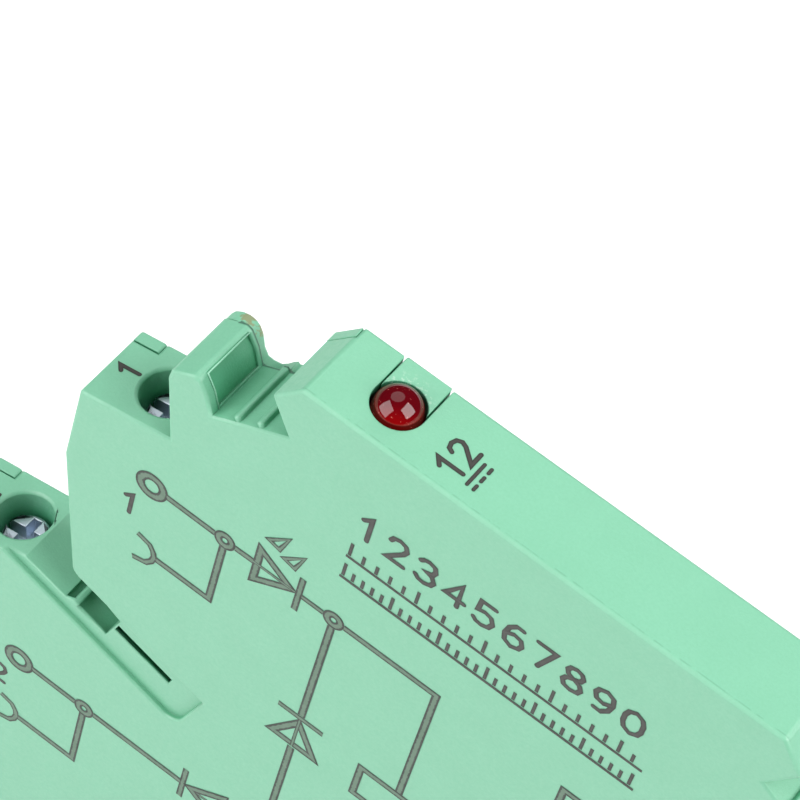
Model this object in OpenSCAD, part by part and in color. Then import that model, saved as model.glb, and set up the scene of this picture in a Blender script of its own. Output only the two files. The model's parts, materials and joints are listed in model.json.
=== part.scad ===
// Slim interface relay for a 35 mm top-hat rail, one module 6.2 mm wide.
// X runs along the module, with the input side at -X and the output side at +X.
// Y runs across the module: the tub's side wall is at -Y and the cover at +Y.
// Z points away from the rail. The origin is the middle of the rail's front face.

/* [Module] */
// Width of the module along the rail
module_w = 6.2; // [6.1:0.1:7]
// Half length of the top block, at the tips of its noses
top_half = 18.65; // [18.2:0.05:19.4]
// Depth of the foot below the rail's front face
foot_depth = 4.6; // [4.4:0.1:6]

/* [Walls] */
// Thickness of the tub's side wall
near_wall = 1.0; // [0.9:0.05:1.05]
// Thickness of the cover plate
cover_t = 1.0; // [0.9:0.05:1.05]
// Thickness of the walls round the edge
edge_wall = 1.2; // [1:0.1:1.5]

/* [Top block and marker groove] */
// How far each nose stands out past the top face
nose_out = 1.75; // [1.2:0.05:2]
// Height of the top face over the tip of the nose
nose_drop = 2.2; // [1.6:0.1:2.6]
// Height of the undercut below the nose
undercut_h = 2.75; // [2.2:0.05:3]
// Length of the groove's floor
groove_w = 5.1; // [4.6:0.1:5.4]
// Fall of the groove's floor away from the top block
groove_fall = 3.0; // [2.5:0.1:3.4]
// Width of the hump beside the groove
hump_w = 3.4; // [3:0.1:3.6]
// Height of the hump over the groove's floor
hump_h = 2.55; // [2:0.05:3]
// Thickness of the two small ribs in the groove
rib_t = 0.45; // [0.3:0.05:0.6]
// Height of the two small ribs
rib_h = 0.4; // [0.3:0.05:0.6]

/* [Terminal tiers] */
// Height of the lowest tier's outer corner above the rail
low_tier_z = 29.76; // [29:0.02:31]
// Height of the top face over the upper tiers' outer corners
top_rise = 14.24; // [14:0.02:15]
// How far the wall between the hump and the upper tier leans in
hump_lean = 1.085; // [0.8:0.005:1.4]
// How far the second tiers stand out past the upper ones
tier_step = 8.2; // [7.8:0.1:8.6]
// How far the third output tier stands out past the second
low_step = 3.2; // [3:0.1:3.8]
// Outward tilt of each tier's top face, in degrees
tier_tilt = 13; // [11:0.5:15]
// Length of a tier's top face along its slope
tier_top = 6.82; // [6.6:0.02:7]
// Height of the upright stretch below a tier's corner
side_h = 6.9; // [6.4:0.1:7.4]
// Height of the leaning wall that the wire enters
entry_h = 11.0; // [10.6:0.1:11.4]
// How far that wall leans in
entry_lean = 2.27; // [2:0.01:2.6]
// Size of the slanted edge under a tier
heel = 1.1; // [0.8:0.1:1.3]
// Height from that edge's foot down to the next tier's corner
step_gap = 3.6; // [3.4:0.1:4]

/* [Bridge shafts] */
// Depth of the shaft's mouth along the underside of the upper tier
mouth_len = 3.39; // [3.2:0.01:3.6]
// Fall of that underside, in degrees
mouth_fall = 28.2; // [26:0.1:30]
// Reach of the slit in the side face, from the mouth's inner end
slit_len = 5.05; // [4:0.05:5.2]
// Thickness of the slit
slit_t = 0.7; // [0.5:0.05:0.8]
// Fall of the slit, in degrees
slit_fall = 18; // [16:0.5:20]
// Depth of the mouth's floor at its inner end
mouth_depth = 2.35; // [2:0.05:2.6]
// Width of the pocket in the mouth
shaft_w = 2.56; // [2.2:0.02:2.7]
// Depth of the pocket below the mouth's floor
shaft_depth = 1.1; // [0.9:0.05:1.6]
// Width of the ridge in front of the pocket
ridge_w = 0.5; // [0.4:0.05:0.7]
// Depth of the relief in the side face round the mouth and the slit
relief_t = 0.4; // [0.25:0.05:0.5]
// Reach of that relief below the mouth's inner end
relief_h = 3.7; // [3.4:0.05:4]
// Reach of that relief above it
relief_up = 1.0; // [0.7:0.05:1.2]

/* [Terminals] */
// Distance of the hole from the tier's outer corner
screw_in = 4.58; // [4.5:0.02:4.7]
// Gap between the screw's head and the walls beside it
head_side = 0.3; // [0.25:0.05:0.4]
// Gap between the screw's head and its hole
head_gap = 0.2; // [0.1:0.05:0.3]
// Height of the screw's head
head_h = 1.7; // [1.4:0.1:2]
// Depth of the head's top below the tier's face
head_depth = 2.1; // [1.8:0.1:2.4]
// Diameter of the screw's thread
thread_d = 2.5; // [2.4:0.05:2.6]
// Thickness of the shelf that carries the head
shelf_t = 1.2; // [1:0.1:1.4]
// Length of the clamp cage along the wire
cage_len = 5.2; // [4.8:0.1:5.4]
// Thickness of the cage's threaded top wall
cage_top_t = 1.8; // [1.6:0.1:2]
// Thickness of the cage's other walls
cage_wall = 0.6; // [0.5:0.05:0.7]
// Largest gap for the wire under the current bar
wire_gap = 3.0; // [2.8:0.1:3.2]
// Travel of the cage
cage_travel = 2.25; // [2:0.05:2.4]
// Gap between the wire entry and the walls beside it
wire_side = 0.3; // [0.25:0.05:0.5]
// Thickness of the stamped current bars
bar_t = 0.8; // [0.7:0.05:0.9]
// Gap between the current bar and the cage's walls
bar_side = 0.1; // [0.05:0.05:0.3]

/* [Status light] */
// Distance of the light's middle from the end of the top face
led_in = 4.7; // [4.4:0.1:5.2]
// Gap between the light's body and the walls beside it
led_side = 0.5; // [0.45:0.05:0.6]
// Overall height of the light
led_h = 5.2; // [5:0.1:5.4]
// Gap between the light and the hole round it
led_gap = 0.15; // [0.12:0.01:0.2]
// How far its dome stands over the top face
led_proud = 1.0; // [0.5:0.05:1.1]

/* [Relay] */
// Height of the relay's case
relay_h = 15; // [14.8:0.1:15.2]
// Thickness that the relay leaves between itself and the module's side faces
relay_skin = 0.65; // [0.61:0.02:0.67]
// Depth of the relay's top below the module's top face
relay_down = 14.2; // [13.8:0.1:14.6]
// Width of the circuit board
board_w = 7.5; // [7:0.1:7.6]

/* [Rail foot] */
// Width of the rail
rail_w = 35; // [34.8:0.1:35.2]
// Thickness of the rail's flange
rail_t = 1.0; // [0.9:0.05:1.1]
// How far the hook and the latch reach under the flange
hook_in = 2.0; // [1.7:0.1:2.2]
// Travel of the latch
latch_travel = 2.4; // [2.3:0.1:2.5]
// Outer diameter of the latch's spring
spring_d = 2.9; // [2.6:0.1:3]

/* [Hidden] */
$fn = 64;

// Overrun of every cut
eps = 0.1;
// Gap between flat faces that move past each other
slide_gap = 0.1;
// Gap round a part that is dropped into its seat
seat_gap = 0.05;
// Gap between curved faces of parts that don't fit together
free_gap = 0.3;

// Planes across the module
y_near = -module_w / 2;
y_floor = y_near + near_wall;
y_cover = module_w / 2 - cover_t;
y_far = module_w / 2;
inner_w = y_cover - y_floor;
head_d = inner_w - 2 * head_side;
screw_hole_d = head_d + 2 * head_gap;
wire_d = inner_w - 2 * wire_side;
led_d = inner_w - 2 * led_side;
led_hole_d = led_d + 2 * led_gap;
led_x = top_half - nose_out - led_in;
y_mid = (y_floor + y_cover) / 2;

// Directions along a tier's top face and along the slit
tier_along = [cos(tier_tilt), sin(tier_tilt)];
slit_along = [cos(slit_fall), -sin(slit_fall)];
slit_up = [sin(slit_fall), cos(slit_fall)];

// Hump outline: shares of its width and height, from the groove's floor upward
hump_shares = [[0, 0], [0.17, 0.55], [0.38, 0.95], [0.5, 1], [0.97, 0.62], [1, 0.27]];
// Outline of the cover's rib end, rounded foot and rounded hump in the same shares
cover_shares = [[-0.54, 0.32], [-0.49, 0.37], [-0.42, 0.27], [-0.31, 0.05], [-0.2, -0.06], [-0.04, -0.12],
    [0.08, -0.1], [0.18, 0.09], [0.23, 0.3], [0.29, 0.52], [0.38, 0.7], [0.49, 0.8], [0.63, 0.82], [0.79, 0.75],
    [0.92, 0.61], [0.98, 0.45], [1, 0.27]];

// Places of the tiers' corners and of the top face
tier_reach = top_half - nose_out + groove_w + hump_w - hump_lean + tier_top * cos(tier_tilt);
tier_drop = side_h + entry_h + heel + step_gap;
tier_z = low_tier_z + 2 * tier_drop;
top_z = tier_z + top_rise;

// Points of the outline on the input side, in X and Z
function corner(k) = [-tier_reach - (k > 0 ? tier_step : 0) - (k > 1 ? low_step : 0), tier_z - k * tier_drop];
function top_end(k) = corner(k) + tier_top * tier_along;
side_lean = 0.1;
function side_pt(k) = corner(k) + [-side_lean, -side_h];
function entry_pt(k) = side_pt(k) + [entry_lean, -entry_h];
function heel_pt(k) = entry_pt(k) + heel * [1, -1];
function slit_start(k) = heel_pt(k) + mouth_len * [cos(mouth_fall), -sin(mouth_fall)];
function slit_pt(k, x, z) = slit_start(k) + x * slit_along + z * slit_up;
undercut_pt = [nose_out - top_half, top_z - nose_drop - undercut_h];
groove_pt = undercut_pt + [-groove_w, -groove_fall];
// Drop of the slope in front of the ridge, and its foot
ridge_h = 0.5;
slope_foot = [-shaft_w - ridge_w - ridge_h, -mouth_depth - ridge_h];
// Thin skin of the side face in front of the slit's hollow, the pocket and the notch
skin = 0.25;
y_skin = y_near + relief_t + skin;
// Step down from the ridge to the pocket's rim, and depth of the notch in front of the ridge
rim_drop = 0.3;
notch_depth = 0.6;
// Where the slit starts, and how far it lies below the mouth's inner end
slit_in = 0.15;
slit_drop = 0.45;

function top_profile(shares) = concat(
    [[nose_out - top_half, top_z], [-top_half, top_z - nose_drop], undercut_pt],
    [for (s = shares) groove_pt + [-s[0] * hump_w, s[1] * hump_h]],
    [top_end(0)]);
function tier_profile(k) = [corner(k), side_pt(k), entry_pt(k), heel_pt(k)];
function step_profile(k) = [slit_pt(k, slope_foot[0], slope_foot[1]), top_end(k + 1)];

// Foot and lower walls
rail_gap = 0.1;
cheek_w = 7.6;
foot_out = rail_w / 2 + rail_gap + cheek_w;
foot_shoulder = 9.2;
foot_neck = 3.4;
hook_w = 4.6;
hook_gap = 0.15;
hook_lip = 1.1;
seat_recess_w = 11;
seat_recess_h = 1.5;
latch_reach = rail_w / 2 - hook_in;
function left_foot() = [
    [-foot_out - foot_neck, foot_shoulder + foot_neck],
    [-foot_out, foot_shoulder],
    [-foot_out, -foot_depth + hook_lip],
    [-foot_out + hook_lip, -foot_depth],
    [-rail_w / 2 - rail_gap, -foot_depth],
    [-rail_w / 2 - rail_gap, 0],
    [-seat_recess_w, 0],
    [-seat_recess_w + seat_recess_h, seat_recess_h]];
hook_z = -rail_t - hook_gap;
function right_foot() = [
    [seat_recess_w - seat_recess_h, seat_recess_h],
    [seat_recess_w, 0],
    [rail_w / 2 + rail_gap, 0],
    [rail_w / 2 + rail_gap, hook_z],
    [latch_reach, hook_z],
    [latch_reach, hook_z - hook_lip],
    [rail_w / 2 + rail_gap, -foot_depth],
    [rail_w / 2 + hook_w - hook_lip, -foot_depth],
    [rail_w / 2 + hook_w, -foot_depth + hook_lip],
    [rail_w / 2 + hook_w, foot_shoulder - foot_neck]];
function flip(p) = [-p[0], p[1]];
function reversed(list) = [for (i = [len(list) - 1 : -1 : 0]) list[i]];
function left_profile(shares) = concat(top_profile(shares), tier_profile(0), step_profile(0), tier_profile(1),
    left_foot());
function right_profile(shares) = [for (p = concat(top_profile(shares), tier_profile(0), step_profile(0),
    tier_profile(1), [top_end(2)], tier_profile(2))) flip(p)];
module outline(shares) polygon(concat(left_profile(shares), right_foot(), reversed(right_profile(shares))));

// A flat shape in X and Z, made solid from one plane to another across the module
module across(y0, y1) translate([0, y1, 0]) rotate([90, 0, 0]) linear_extrude(y1 - y0) children();
// A box from its lowest to its highest corner in X and Z, between two planes in Y
module block(x0, z0, x1, z1, y0, y1) translate([x0, y0, z0]) cube([x1 - x0, y1 - y0, z1 - z0]);

// Terminals: side of the module and tier, in the order of the screw and cage nodes
A1 = [-1, 0];
A2 = [-1, 1];
NO = [1, 0];
COM = [1, 1];
NC = [1, 2];
TERMINALS = [A1, A2, NO, COM, NC];
function face_pt(k) = corner(k) + screw_in * tier_along;
module at_terminal(t) {
    p = face_pt(t[1]);
    mirror([t[0] > 0 ? 1 : 0, 0, 0])
        translate([p[0], 0, p[1]])
            rotate([0, -tier_tilt, 0]) children();
}
// A point of a terminal's own frame, seen in the module's X and Z
function out_of(t, x, z) = [
    -t[0] * (face_pt(t[1])[0] + x * cos(tier_tilt) - z * sin(tier_tilt)),
    face_pt(t[1])[1] + x * sin(tier_tilt) + z * cos(tier_tilt)];

// Heights in a terminal's frame, measured down from the tier's face
head_top = -head_depth;
head_low = head_top - head_h;
shelf_low = head_low - shelf_t;
bar_top = shelf_low - 2 * slide_gap - cage_travel - cage_top_t;
bar_low = bar_top - bar_t;
cage_roof = bar_top + slide_gap;
cage_low = bar_low - wire_gap - cage_wall;
cage_w = inner_w - 2 * slide_gap;
bar_w = cage_w - 2 * cage_wall - 2 * bar_side;
pocket_half = cage_len / 2 + slide_gap + seat_gap;
// Room under the raised cage
floor_gap = 1.2;
pocket_low = cage_low - floor_gap;
wire_z = bar_low - wire_gap / 2;
entry_x = pocket_half - 2 * screw_in;

// Path of a stamped bar, thickened: each side is offset by half the thickness
function unit(v) = v / norm(v);
function left_of(v) = [-v[1], v[0]];
function side_offset(path, i, d) =
    let (a = path[max(i - 1, 0)], b = path[i], c = path[min(i + 1, len(path) - 1)],
        u = i == 0 ? unit(c - b) : unit(b - a),
        v = i == len(path) - 1 ? unit(b - a) : unit(c - b),
        n = left_of(u) + left_of(v))
    b + d * n * 2 / (n * n);
module ribbon(path, t) {
    polygon(concat(
        [for (i = [0 : len(path) - 1]) side_offset(path, i, t / 2)],
        [for (i = [len(path) - 1 : -1 : 0]) side_offset(path, i, -t / 2)]));
}

// Inner end of the upper terminals' pockets
pocket_end = -out_of(A1, pocket_half, pocket_low)[0];

// Relay planes and posts, with the circuit board between the relay and the input pocket
relay_wall = 2.0;
board_wall = 2.3;
board_gap = 1.2;
relay_x1 = pocket_end - relay_wall;
board_x0 = -pocket_end + board_wall;
board_x1 = board_x0 + board_w;
relay_x0 = board_x1 + board_gap;
relay_w = module_w - 2 * relay_skin;
relay_top = top_z - relay_down;
relay_z = relay_top - relay_h;
y_relay0 = -relay_w / 2;
y_relay1 = relay_w / 2;
case_wall = 0.4;
case_gap = 0.15;
base_t = 1.6;
base_top = relay_z + base_t;
pin_l = 3.5;
pin_low = relay_z - pin_l;
pin_t = 0.5;
pin_w = 0.8;
com_in = 6.4;
com_x = relay_x1 - com_in;
post_pitch = 4.1;
nc_x = com_x - post_pitch;
no_x = com_x + post_pitch;

// Circuit board beside the relay
board_t = 1.0;
board_down = 7.8;
board_z1 = top_z - board_down;
bay_rib = 0.8;
bay_gap = 0.2;
no_run = 1.0;
com_turn = 6.5;

// Where each bar leaves its cage, and where it ends
bar_mid = (bar_top + bar_low) / 2;
bar_inner = pocket_half + edge_wall;
bar_outer = -cage_len / 2;
no_run_x = relay_x1 + no_run;
a2_rise = 2.14;
board_z0 = out_of(A2, bar_inner, bar_mid)[1] + a2_rise;
function bar_start(t) = [out_of(t, bar_outer, bar_mid), out_of(t, bar_inner, bar_mid)];
bar_path_a1 = concat(bar_start(A1), [[board_x0, out_of(A1, bar_inner, bar_mid)[1]]]);
a2_rise_x = (board_x0 + board_x1) / 2;
bar_path_a2 = concat(bar_start(A2), [[a2_rise_x, out_of(A2, bar_inner, bar_mid)[1]], [a2_rise_x, board_z0]]);
no_end_z = (pin_low + relay_z) / 2;
bar_path_no = concat(bar_start(NO), [[no_run_x, out_of(NO, bar_inner, bar_mid)[1]],
    [no_run_x, no_end_z], [no_x + pin_t / 2, no_end_z]]);
com_rise_x = com_x + pin_t / 2 + bar_t / 2;
com_turn_z = pin_low - com_turn;
bar_path_com = concat(bar_start(COM), [[com_rise_x, com_turn_z], [com_rise_x, relay_z - seat_gap]]);
nc_rise_x = nc_x - pin_t / 2 - bar_t / 2;
nc_rise = 11.74;
nc_turn_z = out_of(NC, bar_inner, bar_mid)[1] + nc_rise;
bar_path_nc = concat(bar_start(NC), [[nc_rise_x, nc_turn_z], [nc_rise_x, relay_z - seat_gap]]);
BAR_PATHS = [bar_path_a1, bar_path_a2, bar_path_no, bar_path_com, bar_path_nc];

// Latch sizes, with the outer end and the foot's channel
channel_top = 3.6;
latch_lift = 0.2;
latch_z0 = -foot_depth + latch_lift;
latch_z1 = hook_z - seat_gap;
latch_w = inner_w - 2 * slide_gap;
lug_t = 1.3;
lug_in = 0.35;
lug_x = rail_w / 2 + rail_gap + lug_in;
lug_top = channel_top - slide_gap;
grip_l = 3.0;
grip_x = foot_out + latch_travel - hook_lip;
// Shares of the grip's length and the latch's width that the screwdriver's eye takes
eye_shares = [0.3, 0.7];
eye_width_share = 0.72;
guide_d = 1.5;
guide_in = 2.0;
guide_x = foot_out - guide_in;
guide_z = (latch_z0 + latch_z1) / 2;
spring_wall_x = foot_out - edge_wall;
spring_wire = 0.35;
spring_turns = 7;
spring_z = lug_top - slide_gap - spring_d / 2;
spring_floor = spring_z - spring_d / 2 - slide_gap;

// Pegs of the cover, clear of the bays and bars: two under the grooves, the others in the lower body
peg_d = 1.4;
peg_l = 1.6;
peg_in = 0.7;
peg_down = 4.05;
peg_top = groove_pt + [peg_in, -peg_down];
peg_gap = 4;
peg_fall = 17;
peg_spots = [
    peg_top,
    flip(peg_top),
    [board_x0 - peg_gap, board_z0 - 2 * peg_gap],
    (bar_path_com[1] + bar_path_com[2] + bar_path_nc[1] + bar_path_nc[2]) / 4,
    [board_x1 + board_gap, board_z0 - peg_fall],
    [rail_w / 2 + cheek_w, foot_shoulder + foot_neck],
    [-seat_recess_w - guide_in, foot_shoulder]];

module wire_hole() {
    translate([entry_x, 0, wire_z]) rotate([0, 90, 0]) cylinder(d = wire_d, h = -entry_x - pocket_half + eps);
}
module terminal_cuts() {
    translate([0, 0, head_low]) cylinder(d = screw_hole_d, h = -head_low + screw_in);
    translate([0, 0, shelf_low - eps]) cylinder(d = thread_d + 2 * seat_gap + 2 * slide_gap, h = shelf_t + 2 * eps);
    block(-pocket_half, pocket_low, pocket_half, shelf_low, y_floor, y_cover + eps);
    wire_hole();
}
module cleft(k) {
    polygon([slit_start(k), slit_pt(k, 0, -mouth_depth - rim_drop), slit_pt(k, -shaft_w, -mouth_depth - rim_drop),
        slit_pt(k, -shaft_w, -mouth_depth), slit_pt(k, -shaft_w - ridge_w, -mouth_depth),
        slit_pt(k, slope_foot[0], slope_foot[1]), slit_pt(k, slope_foot[0] - mouth_len, 0), heel_pt(k)]);
}
module shaft_pocket(k) {
    polygon([slit_pt(k, 0, -mouth_depth), slit_pt(k, 0, -mouth_depth - shaft_depth),
        slit_pt(k, -shaft_w, -mouth_depth - shaft_depth), slit_pt(k, -shaft_w, -mouth_depth)]);
    polygon([slit_pt(k, -shaft_w - ridge_w, -mouth_depth), slit_pt(k, slope_foot[0], slope_foot[1]),
        slit_pt(k, slope_foot[0], slope_foot[1] - notch_depth),
        slit_pt(k, -shaft_w - ridge_w, slope_foot[1] - notch_depth)]);
}
module slit(k, h) {
    polygon([slit_pt(k, slit_in, -slit_drop), slit_pt(k, slit_len, -slit_drop), slit_pt(k, slit_len, -slit_drop - h),
        slit_pt(k, slit_in, -slit_drop - h)]);
}
// Relief in the side face, with a rounded inner end
relief_r = 1.2;
relief_end = 2.3;
module relief(k) {
    p = slit_start(k);
    reach = slit_len + relief_end;
    translate(p) rotate(-slit_fall) union() {
        translate([-tier_step - mouth_len, -relief_h])
            square([tier_step + mouth_len + reach - relief_r, relief_h + relief_up]);
        translate([reach - relief_r, -relief_h + relief_r]) circle(relief_r);
        translate([reach - 2 * relief_r, -relief_h + relief_r]) square([2 * relief_r, relief_h + relief_up - relief_r]);
    }
}
module both_sides() {
    children();
    mirror([1, 0, 0]) children();
}
// The zones where the tub's own top walls run across to the far face
hole_rim = 0.6;
hole_zone = screw_hole_d / 2 + hole_rim;
// How far the inner end of a tier's zone leans back from the hump's foot
zone_back = 0.7;
zone_reach = 0.4;
module top_zone()
    translate([nose_out - top_half, top_z - edge_wall]) square([2 * (top_half - nose_out), 2 * edge_wall]);
module tier_zone(k) {
    a = face_pt(k) - hole_zone * tier_along;
    b = top_end(k);
    d = edge_wall * [tier_along[1], -tier_along[0]];
    polygon([a - d, b - zone_back * tier_along - d, b + zone_reach * tier_along + d, a + d]);
}
module wall_zones(y0, y1) {
    across(y0, y1) top_zone();
    for (t = TERMINALS) mirror([t[0] > 0 ? 1 : 0, 0, 0]) across(y0, y1) tier_zone(t[1]);
}

tongue_slit = 0.12;
tongue_w = led_hole_d - 2 * tongue_slit;
module led_notch() {
    translate([-led_x, 0, top_z - edge_wall - eps]) cylinder(d = led_hole_d, h = edge_wall + 2 * eps);
    block(-led_x - led_hole_d / 2, top_z - edge_wall - eps, -led_x + led_hole_d / 2, top_z + eps, 0, y_far + eps);
}

// Bays in the tub, open to the cover
module bays(y0, y1) {
    // Space over the relay, round the light
    block(undercut_pt[0] + edge_wall, relay_top + bay_gap + bay_rib,
        top_half - nose_out - edge_wall, top_z - edge_wall, y0, y1);
    // Circuit board
    block(board_x0 + bay_rib, board_z0 + bay_rib, board_x1 - bay_rib, board_z1 + bay_gap, y0, y1);
    // Contact posts and their bars below the relay
    block(board_x1 - bay_rib, pin_low - bay_rib, relay_x1, relay_z + eps, y0, y1);
}
module board_seat() {
    block(board_x0 - seat_gap, board_z0 - seat_gap, board_x1 + seat_gap, board_z1 + seat_gap, -board_t / 2, y_cover + eps);
}
module relay_seat() {
    block(relay_x0 - seat_gap, relay_z - seat_gap, relay_x1 + seat_gap, relay_top + seat_gap,
        y_relay0 - seat_gap, y_cover + eps);
}
module bar_channels() {
    for (path = BAR_PATHS)
        across(-bar_w / 2, y_cover + eps) ribbon(path, bar_t + 2 * seat_gap);
}
module latch_channel() {
    block(-foot_out - eps, -foot_depth - eps, -rail_w / 2 - rail_gap + eps, 0, y_floor, y_cover + eps);
    block(-spring_wall_x, -eps, -lug_x + lug_in - eps, channel_top, y_floor, y_cover + eps);
}
// Floor under the spring, between the latch's bar and its lug
module spring_shelf() {
    block(-spring_wall_x - edge_wall, latch_z1 + slide_gap, -lug_x - lug_t - latch_travel - slide_gap,
        spring_floor, y_floor, y_cover);
}
module groove_ribs() {
    for (share = rib_shares) {
        p = undercut_pt + share * [-groove_w, -groove_fall];
        u = unit([-groove_w, -groove_fall]);
        across(y_near + rib_in, y_cover)
            translate(p) rotate(atan2(u[1], u[0])) translate([-rib_t / 2, -rib_h]) square([rib_t, 2 * rib_h]);
    }
}
rib_shares = [0.38, 0.68];
// How far the ribs start behind the side face
rib_in = 0.2;
// Shallow panel in the hump's wall on the groove's side
panel_t = 0.25;
panel_in = 0.8;
panel_far = 0.4;
module hump_panel() {
    a = groove_pt + [-hump_shares[1][0] * hump_w, hump_shares[1][1] * hump_h];
    b = groove_pt + [-hump_shares[2][0] * hump_w, hump_shares[2][1] * hump_h];
    across(y_near + panel_in, y_cover - panel_far)
        polygon([groove_pt + [0, panel_t], groove_pt + [-panel_t, 0], a + [-panel_t, 0], b + [-panel_t, -panel_t], b, a]);
}

module housing() color("mediumaquamarine") difference() {
    union() {
        difference() {
            union() {
                across(y_near, y_cover) outline(hump_shares);
                intersection() {
                    across(y_cover - eps, y_far) outline(hump_shares);
                    wall_zones(y_cover - 2 * eps, y_far + eps);
                }
            }
            bays(y_floor, y_cover + eps);
            board_seat();
            relay_seat();
            latch_channel();
            bar_channels();
            for (t = TERMINALS) at_terminal(t) terminal_cuts();
            led_notch();
            both_sides() {
                across(y_near - eps, y_far) cleft(0);
                across(y_skin, y_far) shaft_pocket(0);
                across(y_near - eps, y_skin + eps) slit(0, slit_t);
                across(y_skin, y_cover + eps) slit(0, 2 * slit_t);
                across(y_near - eps, y_near + relief_t) relief(0);
                hump_panel();
            }
            for (p = peg_spots)
                translate([p[0], y_cover + eps, p[1]]) rotate([90, 0, 0])
                    cylinder(d = peg_d + 2 * seat_gap, h = peg_l + 2 * eps);
        }
        both_sides() groove_ribs();
        spring_shelf();
        translate([-guide_x, y_cover, guide_z]) rotate([90, 0, 0]) cylinder(d = guide_d, h = inner_w + eps);
    }
}

// Cover plate with the tongue that closes the notch behind the light
tongue_cham = 0.4;
tongue_y = 0.4;
tongue_root = 0.02;
module tongue() {
    difference() {
        across(tongue_y, y_far) polygon([
            [-led_x - tongue_w / 2, top_z - edge_wall - eps], [-led_x + tongue_w / 2, top_z - edge_wall - eps],
            [-led_x + tongue_w / 2, top_z], [-led_x - tongue_w / 2, top_z]]);
        translate([-led_x, 0, top_z - edge_wall - eps]) cylinder(d = led_d + 2 * slide_gap, h = edge_wall + 2 * eps);
        translate([-led_x - tongue_w, y_far, top_z - tongue_cham]) rotate([-45, 0, 0])
            cube([2 * tongue_w, tongue_w, tongue_w]);
    }
}
module cover() color("aquamarine") difference() {
    union() {
        difference() {
            across(y_cover, y_far) outline(cover_shares);
            wall_zones(y_cover - eps, y_far + eps);
        }
        // The tongue's root reaches into the bay under the top wall
        block(-led_x - tongue_w / 2, top_z - 2 * edge_wall, -led_x + tongue_w / 2, top_z - edge_wall + eps,
            y_cover - tongue_root, y_far);
        tongue();
        for (p = peg_spots)
            translate([p[0], y_cover + eps, p[1]]) rotate([90, 0, 0]) cylinder(d = peg_d, h = peg_l + eps);
    }
    block(relay_x0 - seat_gap, relay_z - seat_gap, relay_x1 + seat_gap, relay_top + seat_gap,
        y_cover - eps, y_relay1 + seat_gap);
    both_sides() {
        across(y_cover - eps, y_far + eps) cleft(0);
    }
}

// Status light: flange, body and dome in one turned shape
flange_side = 0.2;
flange_d = inner_w - 2 * flange_side;
flange_h = 1.0;
led_base = top_z + led_proud - led_h;
module led() color([0.75, 0.05, 0.08]) translate([-led_x, 0, led_base]) {
    cylinder(d = flange_d, h = flange_h);
    cylinder(d = led_d, h = led_h - led_d / 2);
    intersection() {
        translate([0, 0, led_h - led_d / 2]) sphere(d = led_d);
        translate([0, 0, led_h - led_d / 2]) cylinder(d = 2 * led_d, h = led_d);
    }
}
lead_t = 0.5;
lead_y = board_t / 2 + lead_t / 2;
lead_l = 3.0;
module led_leads() color("silver")
    for (s = [-1, 1])
        translate([-led_x - lead_t / 2, s * lead_y - lead_t / 2, board_z1 - lead_l])
            cube([lead_t, lead_t, led_base - board_z1 + lead_l]);

module circuit_board() color("darkgreen")
    block(board_x0, board_z0, board_x1, board_z1, -board_t / 2, board_t / 2);
// Parts soldered to the board's faces
chip_l = 3.6;
chip_w = 2.2;
chip_h = 1.2;
chip_foot = 0.45;
chip_pitch = 4.4;
chip_up = 9;
chip_z = board_z0 + chip_up;
module rectifier_diodes() color([0.12, 0.12, 0.12])
    for (i = [0 : 3])
        translate([(board_x0 + board_x1) / 2 - chip_l / 2, board_t / 2, chip_z + i * chip_pitch]) {
            cube([chip_l, chip_h, chip_w]);
            translate([-chip_foot, 0, chip_w / 4]) cube([chip_l + 2 * chip_foot, chip_foot / 2, chip_w / 2]);
        }
res_l = 3.2;
res_w = 1.6;
res_h = 0.6;
res_down = 4;
module resistors() color([0.2, 0.2, 0.22])
    for (i = [0 : 2])
        translate([(board_x0 + board_x1) / 2 - res_l / 2, -board_t / 2 - res_h, board_z1 - res_down - i * chip_pitch])
            cube([res_l, res_h, res_w]);

// Stamped bars from the terminals
module bar(path) color("peru") across(-bar_w / 2, bar_w / 2) ribbon(path, bar_t);
module current_bar_a1() bar(bar_path_a1);
module current_bar_a2() bar(bar_path_a2);
module current_bar_no() bar(bar_path_no);
module current_bar_com() bar(bar_path_com);
module current_bar_nc() bar(bar_path_nc);

// Coil pins and the two links that join them to the board
coil_in = 2.9;
coil_pin_pitch = 4.0;
coil_pin_x = [relay_x0 + coil_in, relay_x0 + coil_in + coil_pin_pitch];
coil_pin_y = 0.8;
link_t = 0.6;
link_w = 1.2;
link_up = 0.3;
link_pitch = 1.7;
link_z = [pin_low + link_up + link_pitch, pin_low + link_up];
module coil_links() color("peru")
    for (i = [0, 1])
        block(board_x1 - link_w, link_z[i], coil_pin_x[i] - pin_t / 2, link_z[i] + link_w,
            board_t / 2, board_t / 2 + link_t);
module coil_pins() color("silver")
    for (i = [0, 1])
        block(coil_pin_x[i] - pin_t / 2, link_z[i], coil_pin_x[i] + pin_t / 2, flange_z0,
            coil_pin_y - pin_t / 2, coil_pin_y + pin_t / 2);

// Relay case: a thin hood over the base
module relay_case() color([0.15, 0.15, 0.16]) difference() {
    block(relay_x0, base_top, relay_x1, relay_top, y_relay0, y_relay1);
    block(relay_x0 + case_wall, base_top - eps, relay_x1 - case_wall, relay_top - case_wall,
        y_relay0 + case_wall, y_relay1 - case_wall);
}
post_y = 1.5;
module relay_base() color([0.25, 0.25, 0.27]) difference() {
    block(relay_x0, relay_z, relay_x1, base_top, y_relay0, y_relay1);
    for (x = coil_pin_x)
        block(x - pin_t / 2, relay_z - eps, x + pin_t / 2, base_top + eps, coil_pin_y - pin_t / 2, coil_pin_y + pin_t / 2);
    for (x = [nc_x, com_x, no_x])
        block(x - pin_t / 2, relay_z - eps, x + pin_t / 2, base_top + eps, -pin_w / 2, pin_w / 2);
}

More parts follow.
